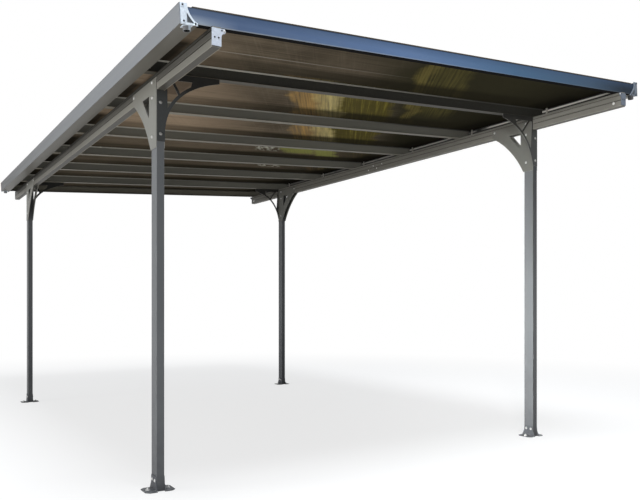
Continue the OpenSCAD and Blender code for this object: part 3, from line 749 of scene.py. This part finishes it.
def smoke_sheet():
    """Twin-wall smoke-bronze sheet: flutes run up the slope with a rib at every pitch. From below, painted
    light and reflections of the scenery lie over the smoke bronze in slanting stripes: light brown, brown,
    orange, pale gold, olive, green, thin gold, and painted shade near black on the high side. A fine comb of
    painted streaks runs along them, and painted glints lie in the middle bays. Painted shade lies at the far
    edge of each bay, beside the gutters and over the front left gusset."""
    f = Finish("panel_smoke")
    x, y = f.x, f.y
    wave = f.math("SINE", f.times(y, 2 * math.pi / FLUTE_PITCH))
    rib = f.ramp(wave, 0.80, 0.97)
    cloud = f.noise(2.2, detail=4.0, rough=0.55, vector=f.stretched(1.0, 0.55, 1.0))
    thread = f.noise(1.0, detail=4.0, rough=0.6, vector=f.stretched(1.3, 46.0, 1.0))
    slant = f.minus(f.times(x, math.cos(STREAK_TURN)), f.times(y, math.sin(STREAK_TURN)))
    length = f.plus(f.times(x, math.sin(STREAK_TURN)), f.times(y, math.cos(STREAK_TURN)))
    comb = f.noise(1.0, detail=3.0, rough=0.7, vector=f.point(f.times(slant, 62.0), f.times(length, 1.1)))
    drift = f.noise(1.0, detail=3.0, rough=0.55, vector=f.point(f.times(slant, 3.0), f.times(length, 5.0)))
    spot = f.noise(1.0, detail=1.0, rough=0.4, vector=f.point(f.times(slant, 30.0), f.times(length, 9.0)))
    stripe = f.plus(slant, f.ramp(drift, 0.3, 0.7, -STRIPE_DRIFT, STRIPE_DRIFT))
    front_shift = f.ramp(y, RAFTER_Y[1] - RAFTER_FADE, RAFTER_Y[1] + RAFTER_FADE, FRONT_SHIFT, 0.0)
    stripe = f.plus(stripe, front_shift)
    streaks = f.ramp(comb, 0.34, 0.66, 0.12, 1.0)
    front_bay = f.ramp(y, RAFTER_Y[0] - RAFTER_FADE, RAFTER_Y[0], 1.0, 0.0)
    inner_bays = f.minus(1.0, front_bay)
    front_bays = f.ramp(y, RAFTER_Y[2], RAFTER_Y[2] + RAFTER_FADE, 1.0, 0.12)
    bay_share = f.math("FRACT", f.math("DIVIDE", f.minus(y, RAFTER_Y[0] - BAYS_AHEAD * BAY), BAY))

    under = f.blend(f.ramp(cloud, 0.35, 0.65), SMOKE_DARK, SMOKE_PALE)
    # Painted light on the low side
    low_side_light = f.times(f.ramp(stripe, -0.28, 0.26, 1.0, 0.0), front_bays)
    under = f.blend(low_side_light, under, LOW_SIDE_PAINTED_LIGHT)
    under = f.blend(f.ramp(comb, 0.52, 0.74, 0.0, 0.3), under, PALE_THREAD)
    under = f.blend(f.ramp(thread, 0.50, 0.74, 0.0, 0.45), under, PALE_THREAD)
    under = f.blend(f.ramp(thread, 0.26, 0.46, 0.55, 0.0), under, DARK_THREAD)
    under = f.blend(f.ramp(y, -0.3, 1.0, 0.0, 0.5), under, BACK_SHADE)
    under = f.blend(f.times(front_bay, f.ramp(x, -1.2, 0.0, 0.0, 0.55)), under, FRONT_SHADE)
    # Painted shade, near black, on the high side
    high_side_shade = f.ramp(f.minus(stripe, f.times(f.ramp(y, -1.1, 0.6), 0.35)), 0.82, 1.15)
    under = f.blend(high_side_shade, under, HIGH_SIDE_SHADE)
    under = f.blend(f.ramp(x, 0.75, 1.2, 0.0, 0.7), under, HIGH_EDGE_SHADE)

    # Stripes of painted light and reflection, with a comb of painted streaks
    shown = f.times(inner_bays, front_bays)
    orange = f.times(f.band(stripe, *ORANGE_STRIPE, 0.05), shown)
    under = f.blend(f.times(orange, streaks), under, ORANGE)
    olive = f.times(f.band(stripe, *OLIVE_STRIPE, 0.06), shown)
    under = f.blend(f.times(olive, 0.85), under, OLIVE)
    under = f.blend(f.times(olive, f.ramp(comb, 0.50, 0.72), 0.8), under, OLIVE_STREAK)
    pale_gold = f.times(f.band(stripe, *PALE_GOLD_STRIPE, 0.05), shown, f.ramp(comb, 0.34, 0.62, 0.2, 1.0))
    under = f.blend(f.times(pale_gold, 0.9), under, PALE_GOLD)
    green = f.times(f.band(stripe, *GREEN_STRIPE, 0.06), f.band(y, -0.36, 0.08, 0.08))
    second_green = f.times(f.band(stripe, *SECOND_GREEN_STRIPE, 0.04), f.band(y, -0.36, 0.16, 0.06))
    green = f.times(f.math("MAXIMUM", green, second_green), f.ramp(comb, 0.3, 0.5, 0.6, 1.0))
    under = f.blend(green, under, GREEN)
    thin_gold = f.times(f.band(stripe, *THIN_GOLD_STRIPE, 0.04), f.ramp(y, -1.3, -1.1, 1.0, 0.0), streaks)
    under = f.blend(f.times(thin_gold, 0.55), under, THIN_GOLD)
    late_olive = f.times(f.band(stripe, *LATE_OLIVE_STRIPE, 0.08), f.ramp(y, -1.5, -1.3, 1.0, 0.0), streaks)
    under = f.blend(f.times(late_olive, 0.6), under, LATE_OLIVE)
    # Painted glints in the middle bays
    spot_line = f.band(f.plus(slant, f.times(y, SPOT_LEAN)), *SPOT_STRIPE, 0.03)
    spot_zone = f.times(spot_line, f.band(y, -0.2, 0.8, 0.05))
    spots = f.times(spot_zone, f.ramp(bay_share, 0.52, 0.66, 1.0, 0.0), f.ramp(spot, 0.44, 0.60))
    under = f.blend(spots, under, PALE_SPOT)

    # Painted shade at the far edge of each bay
    far_edge_shade = f.times(f.ramp(bay_share, 0.70, 0.79), f.ramp(x, -0.9, 0.1, 0.45, 0.85))
    under = f.blend(far_edge_shade, under, FAR_EDGE_SHADE)
    pale_line = f.band(y, PALE_LINE_Y - 3 * MM, PALE_LINE_Y + 3 * MM, 2 * MM)
    under = f.blend(f.times(pale_line, f.ramp(x, -0.9, 0.1, 0.9, 0.0)), under, PALE_LINE)
    gutter_shade = f.times(f.ramp(f.size(x), 1.20, 1.30, 0.0, 0.92), f.ramp(bay_share, 0.48, 0.60, 0.2, 1.0))
    under = f.blend(gutter_shade, under, GUTTER_SHADE)
    # Painted shade on the sheet over the front left gusset
    over_gusset_shade = f.times(f.ramp(x, -1.04, -0.99, 0.75, 0.0), f.ramp(x, -1.30, -1.28))
    over_gusset_shade = f.times(f.band(y, RAFTER_Y[0], -1.28, 0.04), over_gusset_shade)
    under = f.blend(over_gusset_shade, under, OVER_GUSSET_SHADE)

    over = f.blend(f.ramp(cloud, 0.3, 0.7), TOP_DARK, TOP_PALE)
    below = f.ramp(f.facing(2), -0.5, 0.0, 1.0, 0.0)
    base = f.blend(below, over, under)
    f.paint(f.blend(f.times(rib, 0.25), base, RIB_DARK))
    f.join(f.ramp(cloud, 0.3, 0.7, 0.30, 0.42), f.shader.inputs["Roughness"])
    f.join(f.ramp(below, 0.0, 1.0, 0.25, 0.0), f.shader.inputs["Coat Weight"])
    f.bump(wave, distance=0.25 * MM, strength=0.5)
    f.set(Metallic=0.0, Specular_IOR_Level=0.0, Coat_Roughness=0.5)
    return f.material


SEAL_GREY = (0.52, 0.51, 0.46)
SEAL_HIGH_SIDE_SHADE = (0.045, 0.044, 0.040)


def seal_coat():
    """Seal strip finish: matt grey with the drifts of shade of the coated metal, and painted shade on the
    high side.
    """
    f = Finish("seal_paint")
    pale = coat(f, SEAL_GREY, RAFTER_GRAIN, rough=0.55, level=0.08)
    # Painted shade towards the high side
    f.paint(f.blend(f.ramp(f.x, -0.9, 0.8, 0.0, 0.96), pale, SEAL_HIGH_SIDE_SHADE))
    return f.material


BEAM_GUSSET_PAINT = sheet_coat(
    "beam_gusset_paint", grey=(0.240, 0.242, 0.224), edge=(0.34, 0.335, 0.31),
    beside_beam_tone_and_shade=(0.216, 0.212, 0.190), flat_axis=0, level=0.10)
# The cross gussets take a darker copy of the gusset paint, darker still beside the beam: painted shade
SHADED_CROSS_GUSSET_PAINT = sheet_coat(
    "shaded_cross_gusset_paint", grey=(0.066, 0.070, 0.072), edge=(0.26, 0.26, 0.25),
    beside_beam_tone_and_shade=(0.030, 0.029, 0.027), flat_axis=1, level=0.08)
# The front rafter takes a darker copy of the rafter paint: painted shade
SHADED_FRONT_RAFTER_PAINT = rafter_coat(
    "shaded_front_rafter_paint", grey=(0.047, 0.046, 0.040), lip_highlight_colour=(0.12, 0.11, 0.09),
    crown_highlight_colour=(0.30, 0.29, 0.26))
RAFTER_PAINT = rafter_coat(
    "rafter_paint", grey=(0.208, 0.205, 0.180), lip_highlight_colour=(0.34, 0.315, 0.262),
    crown_highlight_colour=(0.40, 0.39, 0.35))
CAP_ZINC = cap_zinc()
# A paler copy of the bolt zinc: painted highlight
HIGHLIGHT_BOLT = zinc("highlight_bolt", (0.88, 0.88, 0.87), rough=0.28, metal=0.25)
BOLT_STEEL = zinc("bolt_steel", (0.58, 0.58, 0.57), rough=0.32, metal=0.40)
# A darker copy of the bolt zinc for the bolts on the cross gussets: painted shade
SHADED_BOLT = zinc("shaded_bolt", (0.30, 0.30, 0.29), rough=0.42, metal=0.30)
CLEAT_STEEL = zinc("cleat_steel", (0.55, 0.53, 0.48), rough=0.50, metal=0.0)
# Dark screws in the bosses and plate holes: painted shade standing for the dark holes
SHADED_HOLE_SCREW = zinc("shaded_hole_screw", (0.035, 0.038, 0.045), rough=0.5, metal=0.2)

# The finish of each frame piece, by the start of its name; the first that fits is taken
FINISH_BY_PREFIX = {
    "post_": post_coat(),
    "foot_": foot_coat(),
    "beam_gusset_": BEAM_GUSSET_PAINT,
    "cross_gusset_": SHADED_CROSS_GUSSET_PAINT,
    "beam_": beam_coat(),
    "rafter_1": SHADED_FRONT_RAFTER_PAINT,
    "rafter_": RAFTER_PAINT,
    "fascia_": fascia_coat(),
    "gutter_": gutter_coat(),
    "end_cap_": CAP_ZINC,
    "end_plate_": end_plate_zinc(),
    "panel_": smoke_sheet(),
}


def dress(node_name, node):
    """Gives a frame piece the finish that its name starts with."""
    finish = next(finish for prefix, finish in FINISH_BY_PREFIX.items() if node_name.startswith(prefix))
    node.data.materials.clear()
    node.data.materials.append(finish)


for node_name, node in NODES.items():
    dress(node_name, node)


# Bolts and screws, as rows of (radius, height) in millimetres and a number of sides

DOME_BOLT = joined(
    revolved([(8.4, 0), (8.4, 0.9), (7.9, 1.3)], 20),
    revolved([(6.4, 1.1), (6.4, 2.0), (5.8, 3.6), (4.3, 4.8), (2.2, 5.5)], 20),
)
SMALL_BOLT = revolved([(5.0, 0), (5.0, 1.0), (4.4, 2.2), (3.0, 3.2), (1.4, 3.7)], 16)
HEX_BOLT = joined(
    revolved([(11, 0), (11, 1.6), (10.3, 2.2)], 24),
    revolved([(9.0, 2.0), (9.0, 7.2), (7.9, 8.2)], 6),
    revolved([(4.6, 8.0), (4.6, 12.0), (3.9, 12.7)], 16),
)
SCREW_BOSS = revolved([(8, 0), (8, 4.4), (7.2, 5.4), (5.2, 5.4), (4.4, 4.4), (4.4, 3.2)], 24)
CAP_SCREW = revolved([(3.9, 3.2), (3.9, 4.2), (3.3, 4.8), (1.8, 4.8), (1.8, 3.6)], 16)
SOCKET_SCREW = revolved([(3.6, 0), (3.6, 1.0), (3.1, 1.5), (1.8, 1.5), (1.8, 0.6)], 16)

# Places on a beam gusset: along the beam from the post's middle, and up from the beam's underside
BEAM_GUSSET_BOLTS = np.array([(22, -219), (22, -27), (22, 48), (316, 44)]) * MM
# Heights on a cross gusset, up from the beam's underside
CROSS_GUSSET_BOLTS = np.array([-60, -213]) * MM
# Places on a foot: along from the post's middle, and up from the ground
FOOT_BOLTS = np.array([(-20, 50), (20, 50)]) * MM
ANCHOR_REACH = 51.15 * MM
# Places on a beam's inner face: along from its middle, and up from its underside
SPLICE_BOLTS = np.array([(-104, 52), (24, 52), (-28, 24), (97, 24)]) * MM


def on_side_face(post, face, spots, low, turn=1.0):
    """Points on the side of a post or beam, face -1 or 1, from rows of (along, up)."""
    x = np.full(len(spots), post[0] + face * (POST_HALF_X + SHEET))
    return np.column_stack([x, post[1] + turn * spots[:, 0], low + spots[:, 1]])


def side_bolts(shape, rows):
    """Bolt heads on side faces, from rows of (face, points)."""
    places = np.concatenate([points for _, points in rows])
    axes = np.concatenate([np.tile([float(face), 0.0, 0.0], (len(points), 1)) for face, points in rows])
    return repeated(shape, places, standing(axes))


def beam_gusset_bolts():
    """Bolt heads on the outer faces of both sheets of each beam gusset."""
    return side_bolts(DOME_BOLT, [
        (face, on_side_face(post, face, BEAM_GUSSET_BOLTS, BEAM_LOW[side], -ENDS[end]))
        for (end, side), post in POSTS.items() for face in (-1, 1)
    ])


def foot_bolts():
    """Bolt heads near the top corners of each foot bracket."""
    return side_bolts(DOME_BOLT, [
        (face, on_side_face(post, face, FOOT_BOLTS, 0.0)) for post in POSTS.values() for face in (-1, 1)
    ])


def cross_gusset_bolts():
    """Bolt heads on the outer face of each cross gusset, down the middle of its post."""
    places, axes = [], []
    for (end, side), post in POSTS.items():
        y = post[1] + ENDS[end] * (POST_HALF_Y + SHEET)
        for up in CROSS_GUSSET_BOLTS:
            places.append((post[0], y, BEAM_LOW[side] + up))
            axes.append((0.0, ENDS[end], 0.0))
    return repeated(DOME_BOLT, np.array(places), standing(axes))


def anchor_bolts():
    """A ground anchor through the flange on each side of each post."""
    places = [(post[0] + face * ANCHOR_REACH, post[1], SHEET) for post in POSTS.values() for face in (-1, 1)]
    return repeated(HEX_BOLT, np.array(places), standing([(0.0, 0.0, 1.0)]))


def splice_bolts():
    """Small bolt heads in two staggered rows over the joint of each beam, on its inner face."""
    rows = []
    for side, sign in SIDES.items():
        x = np.full(len(SPLICE_BOLTS), POSTS["front", side][0] - sign * POST_HALF_X)
        rows.append((-sign, np.column_stack([x, SPLICE_BOLTS[:, 0], BEAM_LOW[side] + SPLICE_BOLTS[:, 1]])))
    return side_bolts(SMALL_BOLT, rows)


add_piece("beam_gusset_bolts", beam_gusset_bolts(), BOLT_STEEL)
add_piece("cross_gusset_bolts", cross_gusset_bolts(), SHADED_BOLT)
add_piece("foot_bolts", foot_bolts(), BOLT_STEEL)
add_piece("anchor_bolts", anchor_bolts(), BOLT_STEEL)
add_piece("splice_bolts", splice_bolts(), HIGHLIGHT_BOLT)


# End caps: an upright strip, a swept arm and screw bosses on the cap's outer face

CAP_BOSSES = np.array([(15, 5), (64, -1), (13, 69)]) * MM
STRIP_MIDDLE = np.array([(16.5, 37)]) * MM
CAP_STRIP = raised_strip(25, 78, [(0, 0), (0, 1.8), (1.2, 2.6)])
ARM_INSET = 6 * MM
ARM_HIGH = 70 * MM
ARM_LOW = 3 * MM
ARM_STEPS = 24
ARM_SECTION = np.array([(5.6, 0), (5.6, 1.9), (4.2, 3.1), (-4.2, 3.1), (-5.6, 1.9), (-5.6, 0)]) * MM


def cap_edge(w):
    """Reach of a cap at height w: CAP_TOP + (GUTTER_WIDTH - CAP_TOP) (1 - h) ** CAP_SWEEP, h being the share
    of the face's height."""
    share = 1 - (w + GUTTER_BELOW) / GUTTER_FACE
    return CAP_TOP + (GUTTER_WIDTH - CAP_TOP) * share ** CAP_SWEEP


def cap_arm():
    """A flat-topped bead carried down the cap's swept edge: the path is (edge(w) - inset, w), and each ring
    is the bead's section set square to the path."""
    w = np.linspace(ARM_HIGH, ARM_LOW, ARM_STEPS)
    path = np.column_stack([cap_edge(w) - ARM_INSET, w])
    way = np.gradient(path, axis=0)
    way = way / np.linalg.norm(way, axis=1, keepdims=True)
    square = np.column_stack([-way[:, 1], way[:, 0]])
    flat = path[:, None, :] + ARM_SECTION[None, :, :1] * square[:, None, :]
    lift = np.broadcast_to(ARM_SECTION[None, :, 1:], flat.shape[:2] + (1,))
    return lofted(np.concatenate([flat, lift], axis=2))


def on_caps(shape, spots):
    """A shape repeated on each cap's outer face at rows of (inwards from the gutter's face, up)."""
    shapes = []
    for end, side in CORNERS:
        s, e = SIDES[side], ENDS[end]
        places = on_roof(s * (ROOF_HALF_X - spots[:, 0]), e * ROOF_HALF_Y, spots[:, 1])
        shapes.append(repeated(shape, places, np.stack([-s * ALONG, UPRIGHT, e * ACROSS])))
    return joined(*shapes)


add_piece("cap_strips", on_caps(CAP_STRIP, STRIP_MIDDLE), CAP_ZINC)
add_piece("cap_arms", on_caps(cap_arm(), np.zeros((1, 2))), CAP_ZINC)
add_piece("cap_bosses", on_caps(SCREW_BOSS, CAP_BOSSES), CAP_ZINC)
# The cap screws are dark, painting the shade of the holes in the bosses
add_piece("cap_screws", on_caps(CAP_SCREW, CAP_BOSSES), SHADED_HOLE_SCREW)


# Beam end plates: screws through the plate, a bolt in its ear, and a bolt through the beam behind it

PLATE_SCREWS = np.array([(-8.5, 40), (8.5, 40), (23, 71)]) * MM
EAR_BOLT = np.array([(34, 70)]) * MM
END_BOLT_BACK = 56 * MM
END_BOLT_UP = 26 * MM


def on_plates(shape, spots):
    """A shape repeated on each end plate's outer face at rows of (inwards from the beam's middle, up)."""
    shapes = []
    for end, side in CORNERS:
        s, e = SIDES[side], ENDS[end]
        x = POSTS[end, side][0] - s * spots[:, 0]
        places = np.column_stack([x, np.full(len(spots), e * BEAM_END), BEAM_LOW[side] + spots[:, 1]])
        shapes.append(repeated(shape, places, standing([(0.0, e, 0.0)])))
    return joined(*shapes)


def beam_end_bolts():
    """A bolt through each beam's inner face, a little behind its end plate."""
    rows = []
    for end, side in CORNERS:
        inward = -SIDES[side]
        x = POSTS[end, side][0] + inward * POST_HALF_X
        spot = (x, ENDS[end] * (BEAM_END - END_BOLT_BACK), BEAM_LOW[side] + END_BOLT_UP)
        rows.append((inward, np.array([spot])))
    return side_bolts(DOME_BOLT, rows)


# The plate screws are dark, painting the shade of the holes in the plate
add_piece("plate_screws", on_plates(SOCKET_SCREW, PLATE_SCREWS), SHADED_HOLE_SCREW)
add_piece("ear_bolts", on_plates(SMALL_BOLT, EAR_BOLT), BOLT_STEEL)
add_piece("beam_end_bolts", beam_end_bolts(), HIGHLIGHT_BOLT)


# Strips and cleats under the roof

STRIP_DROP = 6.5 * MM
STRIP_SECTION = [(0, 0), (4, 1.5), (6, 5.5), (6, 6.5), (0, 6.5)]
CLEAT_SECTION = [(0, 0), (11, 0), (11, 2.5), (2, 2.5), (2, 16), (0, 16)]
CLEAT_REACH = 64 * MM
CLEAT_HEIGHT = 57 * MM
CLEAT_LOW = 3.2 * MM


def glazing_strips():
    """A thin seal strip carried along each side of each rafter, in the corner under the panel over it."""
    strip = carried(STRIP_SECTION, 2 * RAFTER_HALF)
    return joined(*[
        repeated(strip, on_roof(-RAFTER_HALF, RAFTER_Y + way * RAFTER_BODY, PANEL_LOW - STRIP_DROP),
                 np.stack([way * ACROSS, UPRIGHT, ALONG]))
        for way in ENDS.values()
    ])


def rafter_cleats():
    """A small upright angle carried up the inner wall of each gutter, a little in front of each rafter."""
    cleat = carried(CLEAT_SECTION, CLEAT_HEIGHT)
    shapes = []
    for s in SIDES.values():
        places = on_roof(s * RAFTER_HALF, RAFTER_Y - CLEAT_REACH, CLEAT_LOW)
        shapes.append(repeated(cleat, places, np.stack([-s * ALONG, ACROSS, UPRIGHT])))
    return joined(*shapes)


add_piece("glazing_strips", glazing_strips(), seal_coat())
add_piece("rafter_cleats", rafter_cleats(), CLEAT_STEEL)


# Floor, backdrop and light

FLOOR_HALF = 40.0
FLOOR_BELOW = 0.5 * MM
FLOOR_GLOW = 0.72
FLOOR_SEEN = (0.30, 0.30, 0.30, 1.0)
FLOOR_BOUNCE = (0.66, 0.63, 0.58, 1.0)
FADE_FROM = 3.2
FADE_TO = 7.5
AMBIENT = (0.86, 0.92, 1.0, 1.0)
AMBIENT_LEVEL = 0.32
WHITE = (1.0, 1.0, 1.0, 1.0)


def seen_directly(nodes, links):
    """1 for rays from the camera, a mirror or a clear sheet, else 0."""
    path = nodes.new("ShaderNodeLightPath")
    seen = path.outputs["Is Camera Ray"]
    for ray in ("Is Glossy Ray", "Is Transmission Ray"):
        either = nodes.new("ShaderNodeMath")
        either.operation = "MAXIMUM"
        links.new(seen, either.inputs[0])
        links.new(path.outputs[ray], either.inputs[1])
        seen = either.outputs[0]
    return seen


def mixed(nodes, links, share, first, second):
    """A mix of two shaders."""
    mix = nodes.new("ShaderNodeMixShader")
    links.new(share, mix.inputs[0])
    links.new(first.outputs[0], mix.inputs[1])
    links.new(second.outputs[0], mix.inputs[2])
    return mix


def distance_share(nodes, links):
    """0 round the middle of the floor, growing to 1 far from it."""
    place = nodes.new("ShaderNodeTexCoord")
    length = nodes.new("ShaderNodeVectorMath")
    length.operation = "LENGTH"
    links.new(place.outputs["Object"], length.inputs[0])
    share = nodes.new("ShaderNodeMapRange")
    share.interpolation_type = "SMOOTHSTEP"
    share.inputs["From Min"].default_value = FADE_FROM
    share.inputs["From Max"].default_value = FADE_TO
    links.new(length.outputs["Value"], share.inputs["Value"])
    return share.outputs["Result"]


def lay_floor():
    """A wide pale floor that keeps a soft shadow round the middle and turns plain white further out."""
    mesh = bpy.data.meshes.new("floor")
    corners = [(-1, -1), (1, -1), (1, 1), (-1, 1)]
    mesh.from_pydata([(a * FLOOR_HALF, b * FLOOR_HALF, -FLOOR_BELOW) for a, b in corners], [], [(0, 1, 2, 3)])
    material = bpy.data.materials.new("floor")
    material.use_nodes = True
    nodes, links = material.node_tree.nodes, material.node_tree.links
    nodes.remove(nodes["Principled BSDF"])
    glow = nodes.new("ShaderNodeEmission")
    glow.inputs["Strength"].default_value = FLOOR_GLOW
    shaded = nodes.new("ShaderNodeBsdfDiffuse")
    shaded.inputs["Color"].default_value = FLOOR_SEEN
    both = nodes.new("ShaderNodeAddShader")
    links.new(glow.outputs[0], both.inputs[0])
    links.new(shaded.outputs[0], both.inputs[1])
    white = nodes.new("ShaderNodeEmission")
    bounce = nodes.new("ShaderNodeBsdfDiffuse")
    bounce.inputs["Color"].default_value = FLOOR_BOUNCE
    seen = mixed(nodes, links, distance_share(nodes, links), both, white)
    floor_mix = mixed(nodes, links, seen_directly(nodes, links), bounce, seen)
    links.new(floor_mix.outputs[0], nodes["Material Output"].inputs["Surface"])
    mesh.materials.append(material)
    floor = bpy.data.objects.new("floor", mesh)
    bpy.context.scene.collection.objects.link(floor)


def light_world():
    """Even cool ambient light; rays that see the world find plain white."""
    world = bpy.data.worlds.new("studio")
    bpy.context.scene.world = world
    world.use_nodes = True
    nodes, links = world.node_tree.nodes, world.node_tree.links
    ambient = nodes["Background"]
    ambient.inputs["Color"].default_value = AMBIENT
    ambient.inputs["Strength"].default_value = AMBIENT_LEVEL
    white = nodes.new("ShaderNodeBackground")
    white.inputs["Color"].default_value = WHITE
    mix = mixed(nodes, links, seen_directly(nodes, links), ambient, white)
    links.new(mix.outputs[0], nodes["World Output"].inputs["Surface"])


def add_softbox(name, place, target, size, power, colour, spread=180.0):
    """A rectangular soft light of a width and height, aimed at a point; its grid holds it to a spread in
    degrees."""
    lamp = bpy.data.lights.new(name, "AREA")
    lamp.shape = "RECTANGLE"
    lamp.size, lamp.size_y = size
    lamp.spread = math.radians(spread)
    lamp.energy = power
    lamp.color = colour
    box = bpy.data.objects.new(name, lamp)
    box.location = place
    aim = np.array(target) - np.array(place)
    flat = math.hypot(aim[0], aim[1])
    box.rotation_euler = (math.atan2(flat, -aim[2]), 0.0, math.atan2(aim[1], aim[0]) - math.pi / 2)
    bpy.context.scene.collection.objects.link(box)


lay_floor()
light_world()
add_softbox("left_low_box", place=(-12.0, -5.5, 0.62), target=(1.3, -1.8, 1.25), size=(5.0, 0.9),
            power=46.0, colour=(1.0, 0.99, 0.97), spread=46.0)
add_softbox("left_near_box", place=(-8.0, 0.5, 3.5), target=(0.0, 0.0, 1.6), size=(2.5, 2.5),
            power=104.0, colour=(1.0, 0.97, 0.92))
add_softbox("right_post_box", place=(-6.0, -9.0, 1.3), target=(1.5, -1.7, 0.65), size=(1.0, 1.6),
            power=26.0, colour=(1.0, 1.0, 0.98), spread=16.0)
add_softbox("front_high_box", place=(-1.0, -4.5, 9.0), target=(0.0, -1.0, 2.0), size=(3.0, 3.0),
            power=760.0, colour=(0.94, 0.97, 1.0))

scene = bpy.context.scene
scene.view_settings.view_transform = "Standard"
